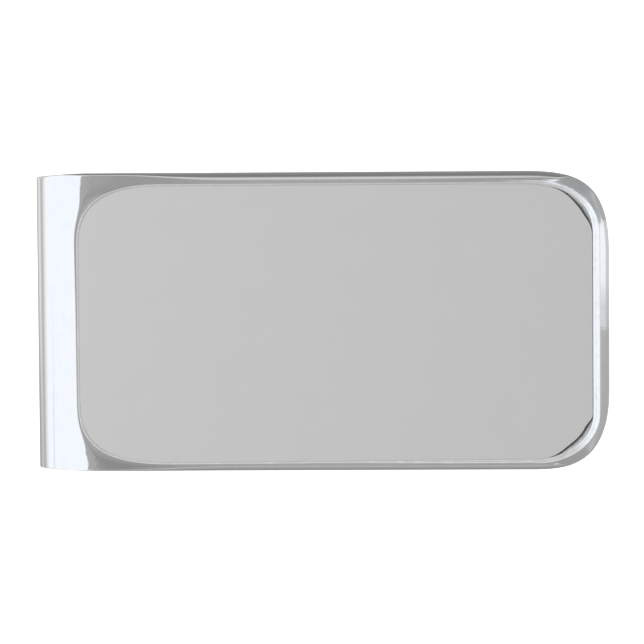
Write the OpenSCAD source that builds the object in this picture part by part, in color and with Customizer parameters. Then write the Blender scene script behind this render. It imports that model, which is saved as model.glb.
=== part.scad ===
// Money clip: one strip of plated metal, folded over into a front plate and a springy back leaf.
// A satin insert is bonded into a recess in the plate's face.
// The origin is the centre of the underside. +X runs to the free end, +Y across the strip, and +Z
// out of the decorated face. The clip lies on the bottom of its fold and the tip of its leaf.

/* [Clip] */
// Length from the outside of the fold to the free end
clip_length = 49.1; // [46:0.1:54]
// Width of the front plate
clip_width = 25.5; // [24:0.1:28]
// Height over the fold
clip_height = 7.3; // [6.8:0.1:8]
// Thickness of the strip
strip_t = 1; // [0.9:0.05:1.1]
// Plan radius of the plate's free corners
corner_r = 5.6; // [4.6:0.1:8]
// Rounding of the plate's outer edge
edge_r = 0.4; // [0.2:0.05:0.4]

/* [Recess] */
// Rim along each long side
side_rim = 0.9; // [0.7:0.05:2]
// Rim at the free end
end_rim = 1.4; // [0.8:0.05:3]
// Distance from the outside of the fold to the recess
fold_rim = 3.7; // [3.65:0.05:6]
// Depth of the recess below the rim
recess_depth = 0.75; // [0.7:0.05:0.9]
// Plan radius of the recess corners at its floor
recess_corner_r = 4.2; // [3:0.1:5]
// How far the recess wall leans out between floor and rim
wall_lean = 0.25; // [0.1:0.05:0.3]
// Metal left under the recess floor
pan_floor = 0.7; // [0.6:0.05:0.9]
// How far the wall of the pressed pan leans out under the plate
pan_lean = 0.3; // [0.1:0.05:0.4]

/* [Insert] */
// Thickness of the insert plate
insert_t = 0.4; // [0.3:0.05:0.5]
// Plan radius of the insert's corners
insert_corner_r = 4.8; // [3.5:0.1:6]
// Gap between the insert's edge and the foot of the recess wall
insert_gap = 0.05; // [0.02:0.01:0.15]
// Thickness of the adhesive film
adhesive_t = 0.12; // [0.05:0.01:0.15]
// Distance that the adhesive stops short of the insert's edge
adhesive_margin = 0.4; // [0.2:0.1:1]
// Thickness of the printed film on the insert
film_t = 0.06; // [0.03:0.01:0.1]

/* [Back leaf] */
// Width of the leaf at its tip
tip_width = 23.4; // [18:0.2:23.8]
// Plan radius of the tip's corners
tip_corner_r = 4; // [2:0.5:8]
// Angle at which the leaf rises towards the plate
rise_angle = 10; // [9.5:0.5:14]
// Angle at which the tip turns away from the plate
drop_angle = 22; // [20:1:30]
// Centre-line radius of the bend where the leaf leaves the fold
root_bend_r = 10; // [6:1:14]
// Centre-line radius of the crest that pinches the notes
crest_r = 7; // [4:0.5:9]
// Gap between the crest and the back of the plate at rest
pinch_gap = 0.06; // [0.04:0.01:0.2]

/* [Hidden] */
$fn = 96;

end_x = clip_length / 2;
half_w = clip_width / 2;

// Axis of the fold, and the underside of the flat plate
fold_r = clip_height / 2;
fold_x = fold_r - end_x;
plate_z = clip_height - strip_t;

// Recess floor, and the back of the pan that the recess presses out of the plate
recess_size = [clip_length - fold_rim - end_rim, clip_width - 2 * side_rim];
recess_x = end_x - end_rim - recess_size.x / 2;
floor_z = clip_height - recess_depth;
pan_z = floor_z - pan_floor;
cut_over = 0.5;

// Insert, stacked on its adhesive
insert_size = [recess_size.x - 2 * insert_gap, recess_size.y - 2 * insert_gap];
insert_z = floor_z + adhesive_t;
film_z = insert_z + insert_t;

// Crest of the leaf's centre line, and the tip where the leaf comes back down to the ground
leaf_rise = pan_z - pinch_gap - strip_t;
rise_run = (leaf_rise - (root_bend_r + crest_r) * (1 - cos(rise_angle))) / sin(rise_angle);
drop_run = (leaf_rise - crest_r * (1 - cos(drop_angle))) / sin(drop_angle);
crest_x = fold_x + (root_bend_r + crest_r) * sin(rise_angle) + rise_run * cos(rise_angle);
tip_x = crest_x + crest_r * sin(drop_angle) + drop_run * cos(drop_angle);
leaf_end_x = tip_x + strip_t / 2;

SILVER = [0.86, 0.88, 0.92];
ALUMINIUM = [0.72, 0.73, 0.75];
ADHESIVE = [0.88, 0.88, 0.84];
SATIN_GREY = [0.77, 0.77, 0.77];

// Half of the plate cut across: thickness upwards, and one rounded edge at the end of its reach
module edge_section(reach) {
    square([reach - edge_r, strip_t]);
    translate([0, edge_r]) square([reach, strip_t - 2 * edge_r]);
    for (y = [edge_r, strip_t - edge_r]) translate([reach - edge_r, y]) circle(edge_r);
}

// The plate cut across, with both long edges rounded
module strip_section() {
    edge_section(half_w);
    mirror([1, 0]) edge_section(half_w);
}

// Flat plate with rounded free corners and a rounded edge all round
module flat_plate() {
    corner_x = end_x - corner_r;
    corner_y = half_w - corner_r;
    translate([fold_x, 0, 0]) rotate([90, 0, 90]) linear_extrude(corner_x - fold_x) strip_section();
    translate([corner_x, 0, 0]) {
        rotate([90, 0, 0]) linear_extrude(2 * corner_y, center = true) edge_section(corner_r);
        translate([0, corner_y, 0]) rotate_extrude(angle = 90) edge_section(corner_r);
        translate([0, -corner_y, 0]) rotate(-90) rotate_extrude(angle = 90) edge_section(corner_r);
    }
}

// Quarter of the fold above its axis, which runs along Y
module upper_fold() {
    rotate([90, 0, 0]) rotate(90) rotate_extrude(angle = 90)
        translate([fold_r - strip_t, 0]) rotate(-90) strip_section();
}

// Block with rounded plan corners, whose walls lean out from its bottom to its top
module leaning_block(size, corner, height, lean) {
    wall = [[0, 0], [corner, 0], [corner + lean, height], [0, height]];
    core = [size.x - 2 * corner, size.y - 2 * corner];
    linear_extrude(height) square(core, center = true);
    for (side = [0 : 3]) {
        along = side % 2 == 0 ? core : [core.y, core.x];
        rotate(90 * side) translate([along.x / 2, 0, 0]) {
            rotate([90, 0, 0]) linear_extrude(along.y, center = true) polygon(wall);
            translate([0, along.y / 2, 0]) rotate_extrude(angle = 90) polygon(wall);
        }
    }
}

// Outline of a rectangle with rounded corners, centred on the recess
module rounded_outline(size, corner) {
    translate([recess_x, 0]) {
        square([size.x - 2 * corner, size.y], center = true);
        square([size.x, size.y - 2 * corner], center = true);
        for (x = [-1, 1], y = [-1, 1])
            translate([x * (size.x / 2 - corner), y * (size.y / 2 - corner)]) circle(corner);
    }
}

// Places along a bend of the leaf's side view, each with its slope. The radius is negative
// where the strip turns downwards.
function bend(centre, radius, from, to, steps) = [
    for (i = [0 : steps])
        let (slope = from + (to - from) * i / steps)
        [centre.x + radius * sin(slope), centre.y - radius * cos(slope), slope]
];

// Points half a thickness above the centre line, or below it if side is -1
function strip_side(places, side) = [
    for (p = places) [p.x - side * strip_t / 2 * sin(p.z), p.y + side * strip_t / 2 * cos(p.z)]
];

function reversed(list) = [for (i = [len(list) - 1 : -1 : 0]) list[i]];

// Side view of the leaf: round the fold, up to the crest that pinches, then down to a round tip
module leaf_profile() {
    places = concat(
        bend([fold_x, fold_r], fold_r - strip_t / 2, -90, 0, 30),
        bend([fold_x, strip_t / 2 + root_bend_r], root_bend_r, 0, rise_angle, 6),
        bend([crest_x, strip_t / 2 + leaf_rise - crest_r], -crest_r, rise_angle, -drop_angle, 16)
    );
    tip = bend([tip_x, strip_t / 2], -strip_t / 2, -drop_angle, -drop_angle - 180, 16);
    round_end = [for (p = tip) [p.x, p.y]];
    polygon(concat(strip_side(places, 1), round_end, reversed(strip_side(places, -1))));
}

// Plan of the leaf: full width round the fold, then narrowing to a tip with rounded corners
module leaf_outline() {
    hull() {
        translate([-end_x, -half_w]) square([fold_r, clip_width]);
        for (side = [-1, 1])
            translate([leaf_end_x - tip_corner_r, side * (tip_width / 2 - tip_corner_r)])
                circle(tip_corner_r, $fn = 48);
    }
}

module front_plate() {
    color(SILVER) difference() {
        union() {
            translate([0, 0, plate_z]) flat_plate();
            translate([fold_x, 0, fold_r]) upper_fold();
            translate([recess_x, 0, pan_z])
                leaning_block(recess_size, recess_corner_r, plate_z - pan_z, pan_lean);
        }
        translate([recess_x, 0, floor_z])
            leaning_block(recess_size, recess_corner_r, recess_depth + cut_over,
                wall_lean * (1 + cut_over / recess_depth));
    }
}

module back_leaf() {
    color(SILVER) intersection() {
        rotate([90, 0, 0]) linear_extrude(clip_width, center = true) leaf_profile();
        linear_extrude(clip_height) leaf_outline();
    }
}

module insert_plate() {
    color(ALUMINIUM) translate([0, 0, insert_z])
        linear_extrude(insert_t) rounded_outline(insert_size, insert_corner_r);
}

module adhesive_film() {
    inset = 2 * adhesive_margin;
    color(ADHESIVE) translate([0, 0, floor_z]) linear_extrude(adhesive_t)
        rounded_outline([insert_size.x - inset, insert_size.y - inset], insert_corner_r);
}

module face_film() {
    color(SATIN_GREY) translate([0, 0, film_z])
        linear_extrude(film_t) rounded_outline(insert_size, insert_corner_r);
}

front_plate();
back_leaf();
insert_plate();
adhesive_film();
face_film();
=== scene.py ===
import math

import bpy
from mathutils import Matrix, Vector


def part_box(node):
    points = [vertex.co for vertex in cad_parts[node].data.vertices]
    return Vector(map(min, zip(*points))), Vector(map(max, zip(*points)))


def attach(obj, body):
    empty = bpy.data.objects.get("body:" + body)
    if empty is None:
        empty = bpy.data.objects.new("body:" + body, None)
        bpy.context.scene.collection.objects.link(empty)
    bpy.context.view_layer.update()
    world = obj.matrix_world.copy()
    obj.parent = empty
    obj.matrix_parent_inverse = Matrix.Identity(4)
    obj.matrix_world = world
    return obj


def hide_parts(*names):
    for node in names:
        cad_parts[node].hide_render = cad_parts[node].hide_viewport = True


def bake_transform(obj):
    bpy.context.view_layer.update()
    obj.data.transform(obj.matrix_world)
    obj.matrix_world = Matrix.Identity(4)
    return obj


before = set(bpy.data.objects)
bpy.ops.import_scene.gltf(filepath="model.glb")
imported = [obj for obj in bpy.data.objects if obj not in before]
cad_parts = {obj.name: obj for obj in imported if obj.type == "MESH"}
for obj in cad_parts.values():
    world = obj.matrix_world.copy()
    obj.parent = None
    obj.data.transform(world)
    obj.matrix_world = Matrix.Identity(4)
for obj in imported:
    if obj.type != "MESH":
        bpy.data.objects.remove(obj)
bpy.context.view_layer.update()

MM = 0.001


def box_mm(node):
    low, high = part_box(node)
    return low / MM, high / MM


plate_low, plate_high = box_mm("front_plate")
_, leaf_high = box_mm("back_leaf")
insert_low, insert_high = box_mm("insert_plate")
adhesive_low, adhesive_high = box_mm("adhesive_film")
film_low, film_high = box_mm("face_film")

# Strip
END_X = plate_high.x
APEX_X = plate_low.x
HALF_W = plate_high.y
TOP = plate_high.z
FOLD_R = TOP / 2
STRIP_T = 1.0
INNER_EDGE_R = 0.3      # rounding of the strip's edges on the inside of the fold
OUTER_EDGE_DROP = 0.45  # height of the rounded edge round the face, at most
# Plan width of that rounded edge, near the fold and along the flat, for the sides at +Y and at -Y
BACK_EDGE_WIDTHS = (0.24, 0.70)
NEAR_EDGE_WIDTHS = (0.12, 0.40)
EDGE_BROADENS = (-17.5, -8.0)   # x between which it changes from the first to the second
END_EDGE_WIDTH = 0.47   # its width at the free end, and in the corners
LEAST_EDGE_WIDTH = 0.1
BLANK_TAPER = 0.0625    # the blank is this much narrower on each side at the fold than at the end
FOLD_NARROWING = 0.15   # and this much narrower again by the fold's outermost line

# The upper half of the fold is an ellipse: it eases out of the flat further than it is high.
# The fold is a little out of square with the strip.
BEND_START = -20.0      # where the flat ends, on the middle line
BEND_SKEW = -0.019      # change of that per millimetre of y
APEX_SKEW = -0.0061     # the same for the fold's outermost line
TOP_ANGLE = math.radians(90)    # angles round the fold: on the flat plate and at its bottom
BOTTOM_ANGLE = math.radians(270)
SEAM_ANGLE = math.radians(112)   # where the plate's mesh ends and the fold's mesh begins
NARROWS_OVER = math.radians(70)  # how far round the fold the strip reaches its narrowing

# The plate's free corners: reach along x, reach along y, and the power of their superellipse
CORNER_BACK = (7.9, 8.0, 3.2)
CORNER_NEAR = (6.5, 7.3, 2.72)

# Recess
RECESS_GAP = 0.004      # between the insert and the foot of the recess wall
FOLD_EDGE = 0.15        # its edge at the fold lies this much further in than drawn, on the middle
FOLD_EDGE_SKEW = -0.006  # line, and this is the change of that per millimetre of y
# Corners of the recess: reach along x, reach along y, and the power of their superellipse
RECESS_CORNERS = [(5.0, 3.9, 2.0), (6.4, 4.8, 2.5), (7.5, 5.5, 2.7), (8.9, 5.7, 3.0)]
RECESS_FLOOR = adhesive_low.z
WALL_LEAN = 0.006
# Worn edge at the top of the recess wall: its plan width and its height
WORN_BACK_WIDTH = 0.13
WORN_NEAR_WIDTHS = (0.14, 0.27)
WORN_BROADENS = (0.0, 14.0)     # x between which the edge at -Y changes from the first to the second
WORN_FOLD_WIDTH = 0.15
BEVEL_WIDTH = 0.61      # at the free end the worn edge is a bevel
EDGE_DROP = 0.11
BEVEL_DROP = 0.3
BEVEL_SLOPE = 0.55      # share of its height that the bevel falls before it turns into the wall
BEVEL_TURN = 0.85       # share of its width where that turn begins
PAINTED_LINE_SHARES = (0.53, 0.64)  # a fine matt line round the bevel, as shares of its width; its darker grey is a painted reflection of a dark line
DRAW_IN = 0.008         # dip of the face beside the recess, where pressing drew the metal in
DRAW_IN_FOLD = 0.055    # the same beside the fold, and what it gains towards the back
DRAW_IN_BACK = 0.015
DRAW_IN_REACH = 0.3
SLUMP = 0.36            # how far the foot of the wall creeps inwards in the free end's corners
WORN_FROM = 20.3        # x from which the recess's edge gets polished, and x at which it fully is
WORN_TO = 23.0
END_CROWN = 0.03        # fall of the free end's rim from the recess to its outer edge
PAN_BACK = RECESS_FLOOR - 0.7
PAN_LEAN = 0.35         # how far the pan's wall leans out from the recess's, and in over the pan
PAN_LEAN_IN = 0.15

# Recess and insert sit a little nearer -Y than drawn, and their sides aren't quite parallel.
BACK_EDGE = (-0.203, 0.0015)    # move of the edge at +Y, and change of that per millimetre of x
NEAR_EDGE = (-0.13, 0.0042)     # the same for the edge at -Y
# Extra gap at the insert's corners, whose curves are flatter than those of the recess
CORNER_GAP_END = 0.39
CORNER_GAP_FOLD = 0.012
ROLL_WIDTH = 1.1        # the insert's face rolls down towards its edge, over this width
ROLL_DROP = 0.015
FILM_OVERLAP = 0.01     # the film's underside lies this far inside the insert

# Back leaf
LEAF_TIP_HALF_W = 11.7
LEAF_TIP_CORNER = 4.0
RISE_ANGLE = math.radians(10)
DROP_ANGLE = math.radians(22)
ROOT_BEND_R = 10.0
CREST_R = 7.0

# Places of the plate's rings, as shares of the rim, of the recess's worn edge and of the back
RIM_RINGS = (0.01, 0.04, 0.1, 0.18, 0.27, 0.36, 0.45, 0.54, 0.63, 0.71, 0.78, 0.84, 0.88, 0.91, 0.935,
             0.955, 0.97, 0.98, 0.99, 1)
WORN_RINGS = (0.02, 0.04, 0.06, 0.12, 0.25, 0.4, *PAINTED_LINE_SHARES, 0.75, 0.85, 0.89, 0.93, 0.96, 0.98, 0.995, 1)
BACK_RINGS = (0.03, 0.2, 0.4, 0.6, 0.8, 0.97, 1.0)
# The recess's wall and the edge of its floor: inset, height above the floor, and share of the slump
WALL_PROFILE = ((-0.005, 0.4, 0.0), (-0.004, 0.34, 0.12), (-0.003, 0.25, 0.34), (-0.002, 0.16, 0.56),
                (0.0, 0.08, 0.76), (0.01, 0.02, 0.92), (0.05, 0.0, 1.0), (1.2, 0.0, 1.0))


# -------- meshes

def smoothstep(low, high, value):
    t = min(1.0, max(0.0, (value - low) / (high - low)))
    return t * t * (3 - 2 * t)


def lerp(a, b, t):
    return a + (b - a) * t


POLISHED, UNPOLISHED, DULL_PAINTED_SHADE, WORN, PAINTED_LINE = range(5)      # material slots of the strip


class Shell:
    """Vertices in millimetres and the faces between rings of them."""

    def __init__(self):
        self.points = []
        self.faces = []
        self.flat_faces = set()
        self.finish = POLISHED  # material slot of the faces being added
        self.finishes = []

    def ring(self, points):
        first = len(self.points)
        self.points.extend(Vector(p) for p in points)
        return list(range(first, len(self.points)))

    def extend(self, last, points, backwards=False):
        """A new ring, joined to the last one. backwards turns the quads over."""
        ring = self.ring(points)
        if backwards:
            self.bridge(ring, last)
        else:
            self.bridge(last, ring)
        return ring

    def bridge(self, a, b, closed=True, finishes=None):
        """Quads between two rings of equal length, facing outwards where b lies to a's right.
        finishes gives each quad its own material slot."""
        count = len(a)
        for i in range(count if closed else count - 1):
            j = (i + 1) % count
            quad = [a[i], a[j], b[j], b[i]]
            distinct = [v for k, v in enumerate(quad) if v not in quad[:k]]
            if len(distinct) > 2:
                self.faces.append(distinct)
                self.finishes.append(finishes[i] if finishes else self.finish)

    def cap(self, ring, flat=True):
        if flat:
            self.flat_faces.add(len(self.faces))
        self.faces.append(list(ring))
        self.finishes.append(self.finish)

    def corner_normals(self):
        """Angle-weighted normal sums of the smooth faces, by rounded position."""
        sums = {}
        for number, face in enumerate(self.faces):
            if number in self.flat_faces:
                continue
            points = [self.points[v] for v in face]
            normal = polygon_normal(points)
            for k, p in enumerate(points):
                to_next = points[(k + 1) % len(points)] - p
                to_last = points[k - 1] - p
                if to_next.length < 1e-9 or to_last.length < 1e-9:
                    continue
                key = position_key(p)
                sums[key] = sums.get(key, Vector()) + normal * to_next.angle(to_last, 0.0)
        return sums

    def build(self, name, normal_sums=None):
        """A Blender object in metres, shaded with the given normals, or its own."""
        sums = normal_sums or self.corner_normals()
        mesh = bpy.data.meshes.new(name)
        mesh.from_pydata([p * MM for p in self.points], [], self.faces)
        mesh.polygons.foreach_set("use_smooth", [True] * len(self.faces))
        mesh.polygons.foreach_set("material_index", self.finishes)
        normals = []
        for number, face in enumerate(self.faces):
            flat = polygon_normal([self.points[v] for v in face])
            for v in face:
                smooth = sums.get(position_key(self.points[v]))
                normals.append(flat if number in self.flat_faces or smooth is None
                               else smooth.normalized())
        mesh.normals_split_custom_set(normals)
        mesh.update()
        made = bpy.data.objects.new(name, mesh)
        bpy.context.scene.collection.objects.link(made)
        return made


def position_key(p):
    return round(p.x, 4), round(p.y, 4), round(p.z, 4)


def polygon_normal(points):
    """Newell's normal, which also holds for a polygon with many corners."""
    n = Vector()
    for a, b in zip(points, points[1:] + points[:1]):
        n += Vector(((a.y - b.y) * (a.z + b.z), (a.z - b.z) * (a.x + b.x), (a.x - b.x) * (a.y + b.y)))
    return n.normalized() if n.length > 1e-12 else Vector((0, 0, 1))


def rounded_rectangle(low, high, corners, arc_steps=26, long_steps=54, short_steps=22):
    """Points and outward normals in plan, anticlockwise from the lower right corner's start.
    corners are the lower right, upper right, upper left and lower left ones: their reaches along x
    and y and the power of their superellipse."""
    signs = [(1, -1), (1, 1), (-1, 1), (-1, -1)]
    centres = [Vector((high.x - rx if sx > 0 else low.x + rx, high.y - ry if sy > 0 else low.y + ry))
               for (sx, sy), (rx, ry, _) in zip(signs, corners)]
    outline = []
    for k, (centre, (rx, ry, power)) in enumerate(zip(centres, corners)):
        for i in range(arc_steps + 1):
            a = math.radians(90 * k - 90 + 90 * i / arc_steps)
            across, up = signed_power(math.cos(a), 2 / power), signed_power(math.sin(a), 2 / power)
            slope = Vector((signed_power(across, power - 1) / rx, signed_power(up, power - 1) / ry))
            outline.append((centre + Vector((rx * across, ry * up)), slope.normalized()))
        end, normal = outline[-1]
        after, reach_after = centres[(k + 1) % 4], Vector(corners[(k + 1) % 4][:2])
        target = after + normal * reach_after
        steps = short_steps if k % 2 == 0 else long_steps
        for i in range(1, steps):
            outline.append((end.lerp(target, i / steps), normal.copy()))
    return outline


def signed_power(value, power):
    return 0.0 if abs(value) < 1e-9 else math.copysign(abs(value) ** power, value)


# -------- the strip's surface

def bend_start(y):
    """x at which the flat plate starts to bend."""
    return BEND_START + BEND_SKEW * y


def apex_x(y):
    """x of the fold's outermost line, which touches the frame's box at the back edge."""
    return APEX_X + APEX_SKEW * (y - HALF_W)


def fold_point(angle, y, depth):
    """A point of the fold. angle is 90 degrees at the top and 270 at the bottom, in radians;
    depth is measured from the outer surface."""
    length = bend_start(y) - apex_x(y) if angle < math.pi else FOLD_R
    centre_x = apex_x(y) + length
    return Vector((centre_x + (length - depth) * math.cos(angle), y,
                   FOLD_R + (FOLD_R - depth) * math.sin(angle)))


def bend_angle(x, y):
    """Angle round the fold of a plan position on the plate; 90 degrees on its flat part."""
    start = bend_start(y)
    if x >= start:
        return TOP_ANGLE
    return math.acos(max(-1.0, (x - start) / (start - apex_x(y))))


def plate_point(x, y, depth):
    """A point of the plate, which follows the fold where x is short of its flat part."""
    if x >= bend_start(y):
        return Vector((x, y, TOP - depth))
    return fold_point(bend_angle(x, y), y, depth)


def seam_x(y):
    return fold_point(SEAM_ANGLE, y, 0.0).x


def half_width(x, angle):
    """Half the strip's width at a plan x on the plate and an angle round the fold."""
    taper = BLANK_TAPER * (END_X - x) / (END_X - APEX_X)
    round_fold = min(1.0, (angle - TOP_ANGLE) / NARROWS_OVER)
    return HALF_W - taper - FOLD_NARROWING * (1 - (1 - round_fold) ** 1.5)


def edge_width(x, normal):
    """Plan width of the face's rounded outer edge: broad along the sides' flat, keen elsewhere."""
    by_fold, on_flat = BACK_EDGE_WIDTHS if normal.y > 0 else NEAR_EDGE_WIDTHS
    side = lerp(by_fold, on_flat, smoothstep(*EDGE_BROADENS, x))
    side *= smoothstep(0.94, 0.9995, abs(normal.y))
    end = END_EDGE_WIDTH * smoothstep(0.6, 0.99, normal.x)
    return max(LEAST_EDGE_WIDTH, side, end)


def recess_edge_width(p, normal):
    """Plan width of the recess's worn edge: a broad bevel at the free end."""
    side = WORN_BACK_WIDTH
    if normal.y <= 0:
        side = lerp(*WORN_NEAR_WIDTHS, smoothstep(*WORN_BROADENS, p.x))
    if normal.x <= 0:
        return lerp(side, WORN_FOLD_WIDTH, normal.x ** 2)
    return lerp(side, BEVEL_WIDTH, normal.x ** (1.2 if normal.y > 0 else 0.65))


def eased_slope(t, easing):
    """A straight rise by t, which starts level and is at its full slope from easing on."""
    return t * t / (2 * easing) if t < easing else t - easing / 2


def recess_edge_depth(t, normal):
    """Depth of the recess's edge at a share t of its width: chamfered along the sides, and at the
    free end a flat bevel that turns down into the wall."""
    chamfer = eased_slope(t, 0.25) / eased_slope(1, 0.25)
    bevel = BEVEL_SLOPE * eased_slope(t, 0.06)
    if t > BEVEL_TURN:
        turned = min(1.0, (t - BEVEL_TURN) / (1 - BEVEL_TURN))
        left = 1 - BEVEL_SLOPE * eased_slope(1, 0.06)
        bevel += left * (1 - math.sqrt(1 - turned ** 2))
    towards_end = max(normal.x, 0.0) ** 0.7
    return lerp(EDGE_DROP, BEVEL_DROP, towards_end) * lerp(chamfer, bevel, towards_end)


def corner_reach(y):
    return CORNER_BACK if y > 0 else CORNER_NEAR


def past_corner(p):
    """How far a plan position is into the corner's superellipse, along x and along y."""
    reach_x, reach_y, power = corner_reach(p.y)
    half_w = half_width(p.x, bend_angle(p.x, p.y))
    across = max(0.0, (p.x - END_X) / reach_x + 1)
    up = max(0.0, (abs(p.y) - half_w) / reach_y + 1)
    return across, up, power


def inside_plate(p):
    if p.x < seam_x(p.y):
        return False
    across, up, power = past_corner(p)
    return across ** power + up ** power <= 1


def outline_beyond(p, direction):
    """Where a line from inside the plate meets its outline."""
    near, far = 0.0, 12.0
    for _ in range(40):
        middle = (near + far) / 2
        if inside_plate(p + direction * middle):
            near = middle
        else:
            far = middle
    return p + direction * near


def outline_normal(p):
    reach_x, reach_y, _ = corner_reach(p.y)
    across, up, power = past_corner(p)
    slope = Vector((across ** (power - 1) / reach_x, up ** (power - 1) / reach_y))
    return Vector((slope.x, math.copysign(slope.y, p.y))).normalized()


def as_fitted(outline):
    """The recess's outline with its long edges and its edge at the fold where they really lie."""
    middle = (insert_low.x + insert_high.x) / 2
    fitted = []
    for p, normal in outline:
        move, change = BACK_EDGE if p.y > 0 else NEAR_EDGE
        along = move + change * (p.x - middle)
        towards_fold = max(0.0, (middle - p.x) / (middle - insert_low.x))
        skewed = Vector((FOLD_EDGE_SKEW * p.y * towards_fold, along * abs(p.y) / insert_high.y))
        fitted.append((p + skewed, normal))
    return fitted


def recess_outline():
    """Foot of the recess's wall: points and outward normals."""
    gap = Vector((RECESS_GAP, RECESS_GAP))
    low = insert_low.xy - gap + Vector((FOLD_EDGE, 0))
    return as_fitted(rounded_rectangle(low, insert_high.xy + gap, RECESS_CORNERS))


def at_corner(normal):
    """1 in the corners and 0 along the edges."""
    if normal.x > 0 and normal.y > 0:
        return smoothstep(0.2, 0.8, normal.x) * smoothstep(0.0, 0.5, normal.y)
    return smoothstep(0.15, 0.6, abs(normal.x)) * smoothstep(0.05, 0.45, abs(normal.y))


def insert_outline(inset=0.0):
    """Outline of the insert, which fits the recess closely except in the corners."""
    outline = []
    for p, normal in recess_outline():
        extra = (CORNER_GAP_END if normal.x > 0 else CORNER_GAP_FOLD) * at_corner(normal)
        outline.append((p - normal * (RECESS_GAP + extra + inset), normal))
    return outline


def draw_in_depth(p, normal):
    """Dip of the face at the recess's edge: deepest beside the fold, none at the free end."""
    if normal.x > 0:
        return DRAW_IN * (1 - normal.x)
    beside_fold = DRAW_IN_FOLD + DRAW_IN_BACK * smoothstep(0.0, 8.0, p.y)
    return lerp(DRAW_IN, beside_fold, normal.x ** 2)


class PlatePlan:
    """The plate from above: the foot of the recess's wall, and straight out from each of its points
    one on the plate's outline."""

    def __init__(self):
        self.foot = recess_outline()
        self.count = len(self.foot)
        self.outline = [outline_beyond(p, n) for p, n in self.foot]
        back, near = self.meet_seam(1), self.meet_seam(-1)
        self.ends = (near, back)
        # Points along the seam with the fold, and points along the open edge from -Y round to +Y
        self.seam = list(range(back + 1, near))
        self.path = [i % self.count for i in range(near, back + self.count + 1)]
        self.normals = {i: outline_normal(self.outline[i]) for i in self.path}
        self.normals[back] = Vector((0, 1))
        self.normals[near] = Vector((0, -1))

    def meet_seam(self, side):
        """Moves the nearest point of the outline to where the seam meets a long edge."""
        y = side * half_width(seam_x(side * HALF_W), SEAM_ANGLE)
        corner = Vector((seam_x(y), y))
        nearest = min(range(self.count), key=lambda i: (self.outline[i] - corner).length)
        self.outline[nearest] = corner
        return nearest

    def crown(self, i):
        """Fall of the rim's outer edge below the flat."""
        return END_CROWN * max(0.0, self.foot[i][1].x) ** 3

    def spread(self, shell, ring):
        """Plan positions of a closed ring's vertices, measured on the strip's outer surface."""
        flat = []
        for i, v in enumerate(ring):
            p = shell.points[v]
            on_seam = i in self.seam or i in self.ends
            flat.append(Vector((seam_x(p.y) if on_seam else p.x, p.y)))
        return flat


def edge_ring(shell, plan, angle, on_face):
    """Points along the open edge of the plate, from the seam's -Y end to its +Y end. angle runs
    round the edge's rounding, from 0 at the face or back."""
    made = []
    for i in plan.path:
        normal = plan.normals[i]
        width = edge_width(plan.outline[i].x, normal) if on_face else INNER_EDGE_R
        drop = min(width, OUTER_EDGE_DROP) * (1 - math.cos(angle))
        p = plan.outline[i] - normal * width * (1 - math.sin(angle))
        x = seam_x(p.y) if i in plan.ends else p.x
        made.append(plate_point(x, p.y, drop + plan.crown(i) if on_face else STRIP_T - drop))
    return shell.ring(made)


def add_open_edge(shell, plan):
    """Rounded face, short wall and rounded back of the open edge. Returns the rings of both."""
    steps = 10
    turns = [math.radians(90) * i / steps for i in range(steps + 1)]
    face_rings = [edge_ring(shell, plan, angle, True) for angle in turns]
    back_rings = [edge_ring(shell, plan, angle, False) for angle in reversed(turns)]
    for a, b in zip(face_rings + back_rings, face_rings[1:] + back_rings):
        shell.bridge(b, a, closed=False)
    return face_rings, back_rings


def closed_ring(shell, plan, edge, depth):
    """The whole boundary of the flat face or back: its edge ring, then the seam's points."""
    on_path = dict(zip(plan.path, edge))
    low, high = (shell.points[on_path[i]].y for i in plan.ends)
    full_low, full_high = (plan.outline[i].y for i in plan.ends)
    made = []
    for i in range(plan.count):
        if i in on_path:
            made.append(on_path[i])
            continue
        y = lerp(low, high, (plan.outline[i].y - full_low) / (full_high - full_low))
        made.append(shell.ring([plate_point(seam_x(y), y, depth)])[0])
    return made


def add_rim(shell, plan, face_edge, dips):
    """The face, from the outer edge to the top of the recess. Returns its last ring."""
    face = plan.spread(shell, face_edge)
    recess_top = [p + n * (WALL_LEAN + recess_edge_width(p, n)) for p, n in plan.foot]
    last = face_edge
    for t in RIM_RINGS:
        made = []
        for i, (a, b) in enumerate(zip(face, recess_top)):
            place = a.lerp(b, t)
            dip = dips[i] * math.exp(-(place - b).length / DRAW_IN_REACH) * min(1.0, t * 3)
            made.append(plate_point(place.x, place.y, dip + plan.crown(i) * (1 - t) ** 1.6))
        last = shell.extend(last, made)
    return last


def add_worn_edge(shell, plan, last, dips):
    """The worn edge at the top of the recess, with a fine matt line round it whose darker grey is a
    painted reflection. Returns its last ring.
    """
    for t in WORN_RINGS:
        made = []
        for (p, n), dip in zip(plan.foot, dips):
            place = p + n * (WALL_LEAN + recess_edge_width(p, n) * (1 - t))
            drop = dip * (1 - t) + recess_edge_depth(t, n)
            made.append((place.x, place.y, plate_point(place.x, place.y, 0.0).z - drop))
        # The matt line round the bevel gets a darker grey: a painted reflection of a dark line.
        shell.finish = PAINTED_LINE if t == PAINTED_LINE_SHARES[1] else WORN
        last = shell.extend(last, made)
    return last


def add_recess(shell, plan, last):
    """Wall and floor of the recess."""
    # The wall and floor's material darkens towards the floor as painted shade.
    shell.finish = DULL_PAINTED_SHADE
    slumps = [SLUMP * at_corner(n) if n.x > 0 else 0.0 for _, n in plan.foot]
    for inset, height, share in WALL_PROFILE:
        made = []
        for (p, n), slump in zip(plan.foot, slumps):
            made.append((*(p - n * (inset + slump * share)), RECESS_FLOOR + height))
        last = shell.extend(last, made)
    shell.cap(last, flat=False)


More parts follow.
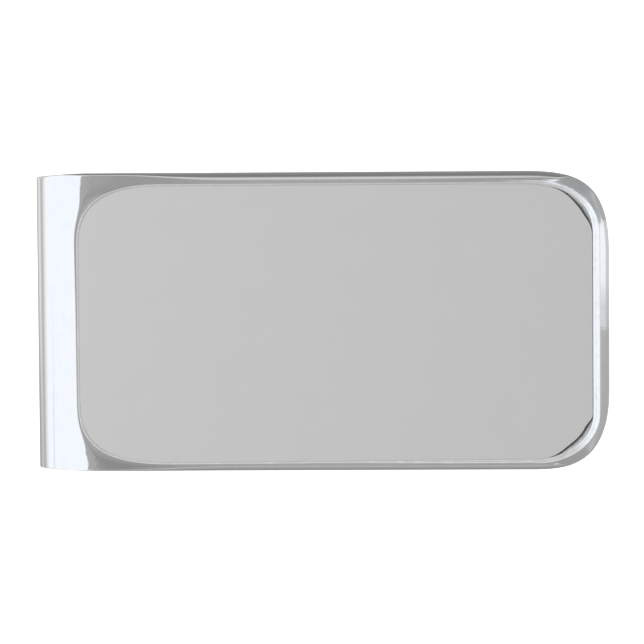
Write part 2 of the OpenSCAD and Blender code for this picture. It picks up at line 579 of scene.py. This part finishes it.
def add_back(shell, plan, back_edge):
    """Back of the plate, then the pan that the recess presses out of it."""
    shell.finish = UNPOLISHED
    back = plan.spread(shell, back_edge)
    pan_top = [p + n * PAN_LEAN for p, n in plan.foot]
    last = back_edge
    for t in BACK_RINGS:
        made = [plate_point(*a.lerp(b, t), STRIP_T) for a, b in zip(back, pan_top)]
        last = shell.extend(last, made, backwards=True)
    steps = 10
    for i in range(1, steps + 1):
        ease = smoothstep(0, steps, i)
        made = []
        for p, n in plan.foot:
            top = plate_point(*(p + n * PAN_LEAN), STRIP_T)
            inset = n * (PAN_LEAN + PAN_LEAN_IN) * i / steps
            made.append((top.x - inset.x, top.y - inset.y, lerp(top.z, PAN_BACK, ease)))
        last = shell.extend(last, made, backwards=True)
    last = shell.extend(last, [(*(p - n * 1.5), PAN_BACK) for p, n in plan.foot], backwards=True)
    shell.cap(list(reversed(last)), flat=False)


def plate_shell():
    """The front plate, closed by a flat cap at the fold, and its section there: a ring of vertices."""
    shell = Shell()
    plan = PlatePlan()
    face_rings, back_rings = add_open_edge(shell, plan)
    face_edge = closed_ring(shell, plan, face_rings[0], 0.0)
    back_edge = closed_ring(shell, plan, back_rings[-1], STRIP_T)
    dips = [draw_in_depth(p, n) for p, n in plan.foot]
    last = add_rim(shell, plan, face_edge, dips)
    last = add_worn_edge(shell, plan, last, dips)
    add_recess(shell, plan, last)
    add_back(shell, plan, back_edge)

    # The section, round from the face's +Y edge: face, -Y edge, back, +Y edge
    near_side = [ring[0] for ring in face_rings[1:] + back_rings[:-1]]
    back_side = [ring[-1] for ring in face_rings[1:] + back_rings[:-1]]
    section = ([face_rings[0][-1]] + [face_edge[i] for i in plan.seam] + [face_rings[0][0]] + near_side
               + [back_rings[-1][0]] + [back_edge[i] for i in reversed(plan.seam)]
               + [back_rings[-1][-1]] + list(reversed(back_side)))
    shell.finish = POLISHED
    shell.cap(list(reversed(section)))
    return shell, section


def section_depths(shell, section):
    """(y, depth) of each vertex of the section at the fold."""
    pairs = []
    for v in section:
        p = shell.points[v]
        outer = fold_point(SEAM_ANGLE, p.y, 0.0)
        inner = fold_point(SEAM_ANGLE, p.y, STRIP_T)
        pairs.append((p.y, (outer - p).length / (outer - inner).length * STRIP_T))
    return pairs


def fold_stations():
    """Places along the strip round the fold, from the seam to its bottom. Each has a function that
    turns (y, depth) into a point, and the strip's half width there."""
    stations = []
    steps = 56
    for i in range(steps + 1):
        angle = lerp(SEAM_ANGLE, BOTTOM_ANGLE, i / steps)
        half_w = half_width(fold_point(min(angle, math.pi), 0.0, 0.0).x, angle)
        stations.append((lambda y, d, a=angle: fold_point(a, y, d), half_w))
    return stations


def leaf_centre_line():
    """Places along the leaf's centre line in its side view, each with its slope, then the place where
    the tip's corners start, and the tip's end."""
    crest_z = leaf_high.z - STRIP_T / 2
    rise = crest_z - STRIP_T / 2
    rise_run = (rise - (ROOT_BEND_R + CREST_R) * (1 - math.cos(RISE_ANGLE))) / math.sin(RISE_ANGLE)
    drop_run = (rise - CREST_R * (1 - math.cos(DROP_ANGLE))) / math.sin(DROP_ANGLE)
    root = Vector((APEX_X + FOLD_R, STRIP_T / 2 + ROOT_BEND_R))
    crest_x = root.x + (ROOT_BEND_R + CREST_R) * math.sin(RISE_ANGLE) + rise_run * math.cos(RISE_ANGLE)
    crest = Vector((crest_x, crest_z - CREST_R))
    places = []

    def turn(centre, radius, a, b, count):
        for i in range(1 if places else 0, count + 1):
            slope = lerp(a, b, i / count)
            places.append((centre + Vector((math.sin(slope), -math.cos(slope))) * radius, slope))

    def run(length, count):
        start, slope = places[-1]
        for i in range(1, count + 1):
            along = Vector((math.cos(slope), math.sin(slope))) * length * i / count
            places.append((start + along, slope))

    turn(root, ROOT_BEND_R, 0.0, RISE_ANGLE, 8)
    run(rise_run, 26)
    turn(crest, -CREST_R, RISE_ANGLE, -DROP_ANGLE, 30)
    run(drop_run - LEAF_TIP_CORNER + STRIP_T / 2, 10)
    start, slope = places[-1]
    forward = Vector((math.cos(slope), math.sin(slope)))
    for i in range(1, 25):
        along = (LEAF_TIP_CORNER - 0.002) * math.sin(math.radians(90) * i / 24)
        places.append((start + forward * along, slope))
    return places, start, start + forward * LEAF_TIP_CORNER


def leaf_place(centre, slope, thin, share):
    """A function that turns (y, depth) into a point of the leaf. thin is the share of its thickness
    that the leaf has there, and share is how far along it that is."""
    def place(y, d):
        up = (STRIP_T / 2 - d) * thin
        skew = (apex_x(y) - APEX_X) * (1 - smoothstep(0.0, 0.5, share))
        return Vector((centre.x + math.sin(slope) * up + skew, y, centre.y - math.cos(slope) * up))
    return place


def leaf_stations(start_half_w):
    """Places along the leaf as fold_stations() gives them, from the end of the fold to the tip."""
    stations = []
    round_r = STRIP_T / 2
    places, tip_start, end = leaf_centre_line()
    root_x = places[0][0].x
    for centre, slope in places[1:]:
        left = (end - centre).length if centre.x > tip_start.x - 1e-6 else math.inf
        share = (centre.x - root_x) / (end.x - root_x)
        half_w = lerp(start_half_w, LEAF_TIP_HALF_W, share)
        if left < LEAF_TIP_CORNER:
            half_w -= LEAF_TIP_CORNER - math.sqrt(LEAF_TIP_CORNER ** 2 - (LEAF_TIP_CORNER - left) ** 2)
        thin = 1.0
        if left < round_r:
            thin = max(0.02, math.sqrt(round_r ** 2 - (round_r - left) ** 2) / round_r)
        stations.append((leaf_place(centre, slope, thin, share), half_w))
    return stations


def leaf_shell(pairs):
    """The fold and the back leaf, swept from the plate's section at the fold."""
    shell = Shell()
    rings = []
    seam_half_w = max(y for y, _ in pairs)
    stations = fold_stations()
    stations += leaf_stations(stations[-1][1])
    for place, half_w in stations:
        rings.append(shell.ring([place(edge_y(y, seam_half_w, half_w), d) for y, d in pairs]))
    # The inside of the fold and the leaf's upper side aren't polished.
    inside = [d > STRIP_T - 0.01 and e > STRIP_T - 0.01
              for (_, d), (_, e) in zip(pairs, pairs[1:] + pairs[:1])]
    finishes = [UNPOLISHED if hidden else POLISHED for hidden in inside]
    for a, b in zip(rings, rings[1:]):
        shell.bridge(b, a, finishes=finishes)
    shell.cap(rings[0])
    shell.cap(list(reversed(rings[-1])), flat=False)
    return shell


def edge_y(y, old_half_w, half_w):
    """Moves a section's point in y for a strip of another width, keeping its rounded edges."""
    edge_zone = 0.5
    if abs(y) <= old_half_w - edge_zone:
        return y * (half_w - edge_zone) / (old_half_w - edge_zone)
    return math.copysign(abs(y) - old_half_w + half_w, y)


def plate_with_rounded_edges(outline, bottom, top, roll_width, roll_drop, edge_r):
    """A thin plate whose face rolls down towards its edge, as a die-cut blank's does."""
    shell = Shell()
    rings = []

    def add(inset, z):
        rings.append(shell.ring([(*(p - n * inset), z) for p, n in outline]))

    for inset in (1.9, 1.6, 1.3):
        add(inset, top)
    steps = 12
    for i in range(steps + 1):
        t = i / steps
        add(lerp(roll_width, edge_r, t), top - roll_drop * t ** 2.2)
    for i in range(1, 7):
        a = math.radians(90) * i / 6
        add(edge_r * (1 - math.sin(a)), top - roll_drop - edge_r * (1 - math.cos(a)))
    add(0.0, bottom + edge_r / 2)
    add(edge_r / 2, bottom)
    add(1.5, bottom)
    for a, b in zip(rings, rings[1:]):
        shell.bridge(b, a)
    shell.cap(rings[0], flat=False)
    shell.cap(list(reversed(rings[-1])), flat=False)
    return shell


# -------- materials

def new_material(name):
    material = bpy.data.materials.new(name)
    material.use_nodes = True
    tree = material.node_tree
    return material, tree.nodes, tree.links, tree.nodes["Principled BSDF"]


def object_noise(nodes, links, scale, detail=2.0, roughness=0.5, stretch=(1, 1, 1)):
    """Noise fixed to the object, stretched by dividing its place by stretch."""
    place = nodes.new("ShaderNodeTexCoord")
    mapping = nodes.new("ShaderNodeMapping")
    mapping.inputs["Scale"].default_value = tuple(1 / s for s in stretch)
    noise = nodes.new("ShaderNodeTexNoise")
    noise.inputs["Scale"].default_value = scale
    noise.inputs["Detail"].default_value = detail
    noise.inputs["Roughness"].default_value = roughness
    links.new(place.outputs["Object"], mapping.inputs["Vector"])
    links.new(mapping.outputs["Vector"], noise.inputs["Vector"])
    return noise.outputs["Fac"]


def value_range(nodes, links, source, from_low, from_high, to_low, to_high):
    node = nodes.new("ShaderNodeMapRange")
    node.inputs["From Min"].default_value = from_low
    node.inputs["From Max"].default_value = from_high
    node.inputs["To Min"].default_value = to_low
    node.inputs["To Max"].default_value = to_high
    links.new(source, node.inputs["Value"])
    return node.outputs["Result"]


def add_bump(nodes, links, height, distance, strength, normal=None):
    bump = nodes.new("ShaderNodeBump")
    bump.inputs["Strength"].default_value = strength
    bump.inputs["Distance"].default_value = distance
    links.new(height, bump.inputs["Height"])
    if normal is not None:
        links.new(normal, bump.inputs["Normal"])
    return bump.outputs["Normal"]


def colour_ramp(nodes, links, source, low, dark, high, light):
    """Colour that runs from dark to light while source runs from low to high."""
    ramp = nodes.new("ShaderNodeValToRGB")
    first, last = ramp.color_ramp.elements
    first.position, last.position = low, high
    first.color, last.color = (*dark, 1), (*light, 1)
    links.new(source, ramp.inputs["Fac"])
    return ramp.outputs["Color"]


def silver_plate():
    material, nodes, links, shader = new_material("polished_silver_plate")
    shader.inputs["Metallic"].default_value = 1.0
    # Faint clouds and streaks left by polishing
    clouds = object_noise(nodes, links, 1500, 4.0, 0.65, stretch=(0.7, 1.3, 1))
    tone = colour_ramp(nodes, links, clouds, 0.36, (0.955, 0.957, 0.96), 0.62, (0.985, 0.985, 0.99))
    links.new(tone, shader.inputs["Base Color"])
    smudges = object_noise(nodes, links, 260, 3.0, 0.6)
    links.new(value_range(nodes, links, smudges, 0.35, 0.75, 0.03, 0.07), shader.inputs["Roughness"])
    # Buffing leaves shallow waves and fine lines along the strip.
    waves = object_noise(nodes, links, 330, 1.0, 0.4)
    lines = object_noise(nodes, links, 7000, 2.0, 0.5, stretch=(20, 1, 1))
    normal = add_bump(nodes, links, waves, 0.00002, 0.4)
    normal = add_bump(nodes, links, lines, 0.000001, 0.2, normal)
    links.new(normal, shader.inputs["Normal"])
    return material


def unpolished_silver():
    """The plated surfaces inside the fold, as they left the press."""
    material, nodes, links, shader = new_material("unpolished_silver")
    shader.inputs["Metallic"].default_value = 0.6
    cloud = object_noise(nodes, links, 700, 4.0, 0.6)
    tone = colour_ramp(nodes, links, cloud, 0.3, (0.62, 0.62, 0.62), 0.7, (0.74, 0.745, 0.75))
    links.new(tone, shader.inputs["Base Color"])
    links.new(value_range(nodes, links, cloud, 0.3, 0.7, 0.45, 0.32), shader.inputs["Roughness"])
    return material


def object_axis(nodes, links, axis):
    """A coordinate of the object's own place, in metres."""
    place = nodes.new("ShaderNodeTexCoord")
    separate = nodes.new("ShaderNodeSeparateXYZ")
    links.new(place.outputs["Object"], separate.inputs["Vector"])
    return separate.outputs[axis]


def joined(nodes, links, operation, a, b):
    """Arithmetic on two sockets, or on a socket and a number."""
    node = nodes.new("ShaderNodeMath")
    node.operation = operation
    for socket, value in zip(node.inputs, (a, b)):
        if isinstance(value, float):
            socket.default_value = value
        else:
            links.new(value, socket)
    return node.outputs["Value"]


def dull_silver_painted_shade():
    """The recess's wall and floor, which polish doesn't reach, so they are rough. Their colour darkens
    towards the floor: painted shade in the narrow recess.
    """
    material, nodes, links, shader = new_material("dull_silver_painted_shade")
    shader.inputs["Roughness"].default_value = 0.55
    shader.inputs["Specular IOR Level"].default_value = 0.3
    # Base colour darker low in the recess: painted shade, with random residue tone over it.
    floor_z, wall_top = RECESS_FLOOR * MM, (RECESS_FLOOR + 0.42) * MM
    height = value_range(nodes, links, object_axis(nodes, links, "Z"), floor_z, wall_top, 0.0, 0.8)
    cloud = object_noise(nodes, links, 1500, 3.0, 0.6)
    residue = value_range(nodes, links, cloud, 0.35, 0.65, 0.0, 0.2)
    level = joined(nodes, links, "ADD", height, residue)
    tone = colour_ramp(nodes, links, level, 0.4, (0.28, 0.28, 0.285), 0.92, (0.92, 0.93, 0.94))
    links.new(tone, shader.inputs["Base Color"])
    return material


def worn_silver(name, most, grey):
    """The recess's edge: matt and of the given grey along the sides, and polished at the free end, to
    a share of most."""
    material, nodes, links, shader = new_material(name)
    shader.inputs["Specular IOR Level"].default_value = 0.3
    along = object_axis(nodes, links, "X")
    polish = value_range(nodes, links, along, WORN_FROM * MM, WORN_TO * MM, 0.0, most)
    links.new(polish, shader.inputs["Metallic"])
    links.new(value_range(nodes, links, polish, 0.0, 1.0, 0.5, 0.05), shader.inputs["Roughness"])
    cloud = object_noise(nodes, links, 1200, 3.0, 0.6)
    wear = joined(nodes, links, "ADD", polish, value_range(nodes, links, cloud, 0.35, 0.65, -0.18, 0.18))
    tone = colour_ramp(nodes, links, wear, 0.0, (grey, grey, grey), 1.0, (0.96, 0.965, 0.97))
    links.new(tone, shader.inputs["Base Color"])
    return material


def satin_print():
    material, nodes, links, shader = new_material("satin_grey_print")
    shader.inputs["Roughness"].default_value = 0.5
    shader.inputs["Specular IOR Level"].default_value = 0.35
    mottle = object_noise(nodes, links, 420, 4.0, 0.6)
    tone = colour_ramp(nodes, links, mottle, 0.2, (0.541, 0.541, 0.541), 0.8, (0.553, 0.553, 0.553))
    links.new(tone, shader.inputs["Base Color"])
    grain = object_noise(nodes, links, 16000, 2.0, 0.5)
    links.new(add_bump(nodes, links, grain, 0.000004, 0.12), shader.inputs["Normal"])
    return material


def cut_aluminium():
    material, nodes, links, shader = new_material("cut_aluminium")
    shader.inputs["Metallic"].default_value = 1.0
    shader.inputs["Base Color"].default_value = (0.78, 0.79, 0.80, 1)
    streaks = object_noise(nodes, links, 6000, 2.0, 0.5, stretch=(1, 1, 12))
    links.new(value_range(nodes, links, streaks, 0.3, 0.7, 0.25, 0.45), shader.inputs["Roughness"])
    links.new(add_bump(nodes, links, streaks, 0.000006, 0.2), shader.inputs["Normal"])
    return material


def transfer_tape():
    material, nodes, links, shader = new_material("transfer_tape")
    shader.inputs["Roughness"].default_value = 0.55
    cloud = object_noise(nodes, links, 900, 3.0, 0.6)
    tone = colour_ramp(nodes, links, cloud, 0.3, (0.66, 0.66, 0.60), 0.7, (0.80, 0.80, 0.75))
    links.new(tone, shader.inputs["Base Color"])
    return material


# -------- the pieces

silver = silver_plate()
unpolished = unpolished_silver()

plate, plate_section = plate_shell()
leaf = leaf_shell(section_depths(plate, plate_section))
shared = plate.corner_normals()
for key, normal in leaf.corner_normals().items():
    shared[key] = shared.get(key, Vector()) + normal

strip_plate = plate.build("strip_plate", shared)
# The recess's wall material darkens towards the floor as painted shade.
for finish in (silver, unpolished, dull_silver_painted_shade(), worn_silver("worn_silver", 1.0, 0.62),
               # The matt line's darker grey is a painted reflection of a dark line.
               worn_silver("matt_silver_painted_line", 0.75, 0.45)):
    strip_plate.data.materials.append(finish)
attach(strip_plate, "front")
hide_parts("front_plate")

strip_leaf = leaf.build("strip_leaf", shared)
strip_leaf.data.materials.append(silver)
strip_leaf.data.materials.append(unpolished)
blend_start = fold_point(SEAM_ANGLE, 0.0, STRIP_T)
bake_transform(strip_leaf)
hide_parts("back_leaf")

insert_sheet = plate_with_rounded_edges(
    insert_outline(), insert_low.z, insert_high.z, ROLL_WIDTH, ROLL_DROP, 0.05).build("insert_sheet")
insert_sheet.data.materials.append(cut_aluminium())
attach(insert_sheet, "front")
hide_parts("insert_plate")

film_bottom = film_low.z - FILM_OVERLAP
print_film = plate_with_rounded_edges(
    insert_outline(), film_bottom, film_high.z, ROLL_WIDTH, ROLL_DROP, 0.025).build("print_film")
print_film.data.materials.append(satin_print())
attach(print_film, "front")
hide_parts("face_film")

bond_inset = adhesive_low.x - insert_low.x
bond_film = plate_with_rounded_edges(
    insert_outline(bond_inset), adhesive_low.z, adhesive_high.z, 0.6, 0.01, 0.03).build("bond_film")
bond_film.data.materials.append(transfer_tape())
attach(bond_film, "front")
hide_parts("adhesive_film")


# -------- floor and light

def make_floor():
    half = 1.2
    mesh = bpy.data.meshes.new("floor")
    mesh.from_pydata([(-half, -half, 0), (half, -half, 0), (half, half, 0), (-half, half, 0)], [],
                     [(0, 1, 2, 3)])
    floor = bpy.data.objects.new("floor", mesh)
    bpy.context.scene.collection.objects.link(floor)
    material, nodes, links, shader = new_material("pale_floor")
    shader.inputs["Base Color"].default_value = (0.9, 0.9, 0.9, 1)
    shader.inputs["Roughness"].default_value = 0.9
    shader.inputs["Specular IOR Level"].default_value = 0.0
    shader.inputs["Emission Color"].default_value = (1, 1, 1, 1)
    shader.inputs["Emission Strength"].default_value = 0.8
    mesh.materials.append(material)
    floor.visible_glossy = False


class Graph:
    """Small helpers for the arithmetic of the light tent's pattern."""

    def __init__(self, tree):
        self.nodes, self.links = tree.nodes, tree.links

    def feed(self, socket, value):
        if isinstance(value, (int, float)):
            socket.default_value = value
        elif isinstance(value, tuple):
            socket.default_value = (*value, 1)
        else:
            self.links.new(value, socket)

    def math(self, operation, *values):
        node = self.nodes.new("ShaderNodeMath")
        node.operation = operation
        for socket, value in zip(node.inputs, values):
            self.feed(socket, value)
        return node.outputs[0]

    def product(self, first, *others):
        for value in others:
            first = self.math("MULTIPLY", first, value)
        return first

    def step(self, value, zero_at, one_at):
        """Smooth change from 0 where value is zero_at to 1 where it is one_at."""
        node = self.nodes.new("ShaderNodeMapRange")
        node.interpolation_type = "SMOOTHSTEP"
        self.feed(node.inputs["Value"], value)
        falling = zero_at > one_at
        node.inputs["From Min"].default_value = one_at if falling else zero_at
        node.inputs["From Max"].default_value = zero_at if falling else one_at
        node.inputs["To Min"].default_value = 1.0 if falling else 0.0
        node.inputs["To Max"].default_value = 0.0 if falling else 1.0
        return node.outputs["Result"]

    def ramp(self, share, stops, low=0.0, high=180.0):
        """Colour by a share of the way from low to high, from (place, grey or colour) stops."""
        node = self.nodes.new("ShaderNodeValToRGB")
        elements = node.color_ramp.elements
        while len(elements) < len(stops):
            elements.new(0.5)
        for element, (place, colour) in zip(elements, stops):
            element.position = (place - low) / (high - low)
            rgb = (colour,) * 3 if isinstance(colour, float) else colour
            element.color = (*rgb, 1)
        self.links.new(share, node.inputs["Fac"])
        return node.outputs["Color"]

    def mix(self, share, a, b):
        node = self.nodes.new("ShaderNodeMix")
        node.data_type = "RGBA"
        self.feed(node.inputs["Factor"], share)
        for name, value in (("A", a), ("B", b)):
            self.feed([s for s in node.inputs if s.name == name and s.type == "RGBA"][0], value)
        return [s for s in node.outputs if s.type == "RGBA"][0]


TENT_WHITE = (0.93, 0.965, 1.025)
WINDOW_WHITE = (0.91, 0.94, 0.98)
EVEN_LIGHT = 0.69       # share of the insert's light that comes evenly from all round
LAMP_PLACE = Vector((-0.12, 0.03, 0.2))
LAMP_POWER = 0.2


def opening_overhead(g, x, y):
    """The grey opening overhead where the camera looks in. Its tone changes along x."""
    west, east = -0.22, 0.12
    across = g.math("DIVIDE", g.math("SUBTRACT", x, west), east - west)
    tone = g.ramp(across, [
        (-0.22, 0.40), (-0.088, 0.39), (-0.082, 0.36), (-0.075, 0.315), (-0.062, 0.32),
        (-0.045, 0.355), (-0.02, 0.385), (0.02, 0.38), (0.045, 0.35), (0.068, 0.345), (0.08, 0.315),
        (0.09, 0.33), (0.0945, 0.42), (0.0985, 0.46), (0.102, 0.53), (0.12, 0.55)], west, east)
    near_shade = g.product(g.step(y, -0.03, -0.05), g.step(x, -0.045, -0.065), g.step(x, -0.086, -0.08))
    return g.mix(near_shade, tone, (0.26, 0.26, 0.26))


def tent_wall(g, place, tilt, share, north):
    """The bright wall beyond the fold. Its seam shows as a fine broken line in the near half."""
    back = [
        (93, TENT_WHITE), (99, 0.92), (103, 0.79), (108, 0.70), (113, 0.50), (119, 0.49), (125, 0.66),
        (131, 0.79), (140, 0.65), (151, 0.46), (170, 0.55)]
    near = [
        (93, TENT_WHITE), (98, 0.85), (103, 0.74), (107, 0.61), (112, 0.43), (118, 0.48), (124, 0.58),
        (132, 0.53), (142, 0.36), (155, 0.46), (170, 0.5)]
    wall = g.mix(g.step(north, -0.10, 0.0), g.ramp(share, near), g.ramp(share, back))
    flecks = g.nodes.new("ShaderNodeTexNoise")
    flecks.inputs["Scale"].default_value = 90.0
    g.links.new(place, flecks.inputs["Vector"])
    seam = g.product(g.step(tilt, 75.0, 76.5), g.step(tilt, 79.5, 78.0), g.step(north, -0.02, -0.05),
                     g.step(flecks.outputs["Fac"], 0.38, 0.6))
    return g.mix(seam, wall, (0.66, 0.69, 0.73))


def cloth_round(g, share, east, north):
    """Darker cloth along both sides and beyond the free end."""
    back_side = g.ramp(share, [
        (5, 0.37), (8, 0.60), (26, 0.62), (34, 0.24), (48, 0.19), (75, 0.24), (110, 0.31), (150, 0.34)])
    back_side = g.mix(g.step(east, 0.2, 0.4), back_side, (0.31, 0.32, 0.325))
    near_side = g.ramp(share, [
        (4, 0.38), (8, 0.48), (16, 0.48), (28, 0.39), (50, 0.35), (90, 0.28), (150, 0.33)])
    free_end = g.ramp(share, [
        (5, 0.50), (9, 0.53), (14, 0.42), (45, 0.40), (90, 0.42), (140, 0.50), (165, 0.60)])
    sides = g.mix(g.step(north, -0.15, 0.15), near_side, back_side)
    towards_end = g.math("MAXIMUM", east, 0.0)
    return g.mix(g.math("POWER", towards_end, 3.0), sides, free_end)


def add_rim_corners(g, behind, x, tilt, north):
    """Darker cloth that the rim mirrors in the corners of the free end."""
    corners = g.math("MAXIMUM", g.step(north, 0.19, 0.31), g.step(north, -0.48, -0.60))
    corners = g.product(corners, g.step(x, 0.082, 0.092), g.step(tilt, 14.0, 10.0))
    return g.mix(corners, behind, (0.32, 0.325, 0.33))


def add_window(g, behind, y, tilt, east, north):
    """A window of light beyond the free end. It fades at its near side and is greyer low down."""
    reach = g.math("ADD", g.product(g.step(y, -0.0085, -0.0055), 0.4),
                   g.product(g.step(y, -0.0215, -0.0185), 0.6))
    window = g.product(reach, g.step(north, 0.20, 0.165), g.step(east, 0.5, 0.6), g.step(tilt, 3.6, 5.0))
    glass = g.mix(g.step(tilt, 28.0, 46.0), WINDOW_WHITE, (0.60, 0.62, 0.64))
    return g.mix(window, behind, glass)


def light_tent():
    """What the metal mirrors, by the direction it looks in. Its steps and ramps run by x, y, the
    direction's share towards east and north, or its tilt: the angle from straight up, in degrees."""
    world = bpy.data.worlds.new("light_tent")
    bpy.context.scene.world = world
    world.use_nodes = True
    tree = world.node_tree
    tree.nodes.clear()
    g = Graph(tree)
    place = g.nodes.new("ShaderNodeTexCoord").outputs["Generated"]
    direction = g.nodes.new("ShaderNodeSeparateXYZ")
    g.links.new(place, direction.inputs[0])
    x, y, z = direction.outputs
    tilt = g.math("MULTIPLY", g.math("ARCCOSINE", z), 180 / math.pi)
    share = g.math("DIVIDE", tilt, 180.0)
    level = g.math("MAXIMUM", g.math("SQRT", g.math("SUBTRACT", 1.0, g.math("MULTIPLY", z, z))), 1e-4)
    east = g.math("DIVIDE", x, level)
    north = g.math("DIVIDE", y, level)

    overhead = opening_overhead(g, x, y)
    others = g.mix(g.step(tilt, 6.0, 8.0), overhead, cloth_round(g, share, east, north))
    others = add_rim_corners(g, others, x, tilt, north)
    others = add_window(g, others, y, tilt, east, north)
    tent = g.mix(g.step(tilt, 10.5, 12.5), overhead, tent_wall(g, place, tilt, share, north))
    towards_tent = g.math("ADD", east, g.math("MULTIPLY", g.math("MINIMUM", north, 0.0), 0.24))
    pattern = g.mix(g.step(towards_tent, -0.34, -0.56), others, tent)

    # Even light for everything that isn't a mirror
    path = g.nodes.new("ShaderNodeLightPath")
    colour = g.mix(path.outputs["Is Glossy Ray"], (EVEN_LIGHT,) * 3, pattern)
    background = g.nodes.new("ShaderNodeBackground")
    output = g.nodes.new("ShaderNodeOutputWorld")
    g.links.new(colour, background.inputs["Color"])
    g.links.new(background.outputs[0], output.inputs["Surface"])


def make_lamp():
    """A soft lamp on the fold's side, which the metal doesn't show."""
    data = bpy.data.lights.new("soft_lamp", "AREA")
    data.shape = "DISK"
    data.size = 0.12
    data.energy = LAMP_POWER
    lamp = bpy.data.objects.new("soft_lamp", data)
    bpy.context.scene.collection.objects.link(lamp)
    lamp.location = LAMP_PLACE
    lamp.rotation_euler = (Vector((0, 0, TOP * MM)) - LAMP_PLACE).to_track_quat("-Z", "Y").to_euler()
    lamp.visible_glossy = False


make_floor()
light_tent()
make_lamp()


# -------- camera

CAMERA_DISTANCE = 230.0
VIEW_WIDTH = 54.80      # width of the picture at the plate's face
CAMERA_TILT = math.radians(1.1)
CAMERA_ROLL = math.radians(-0.271)
TARGET = Vector((0.07, -0.06, TOP))


def make_camera():
    data = bpy.data.cameras.new("camera")
    data.sensor_width = 36.0
    data.lens = data.sensor_width * CAMERA_DISTANCE / VIEW_WIDTH
    data.clip_start, data.clip_end = 0.01, 10.0
    camera = bpy.data.objects.new("camera", data)
    bpy.context.scene.collection.objects.link(camera)
    back = Vector((0, math.sin(CAMERA_TILT), math.cos(CAMERA_TILT)))
    camera.location = (TARGET + back * CAMERA_DISTANCE) * MM
    camera.rotation_euler = (-CAMERA_TILT, 0, CAMERA_ROLL)
    bpy.context.scene.camera = camera


make_camera()
bpy.context.scene.view_settings.view_transform = "Standard"
bpy.context.scene.view_settings.look = "None"
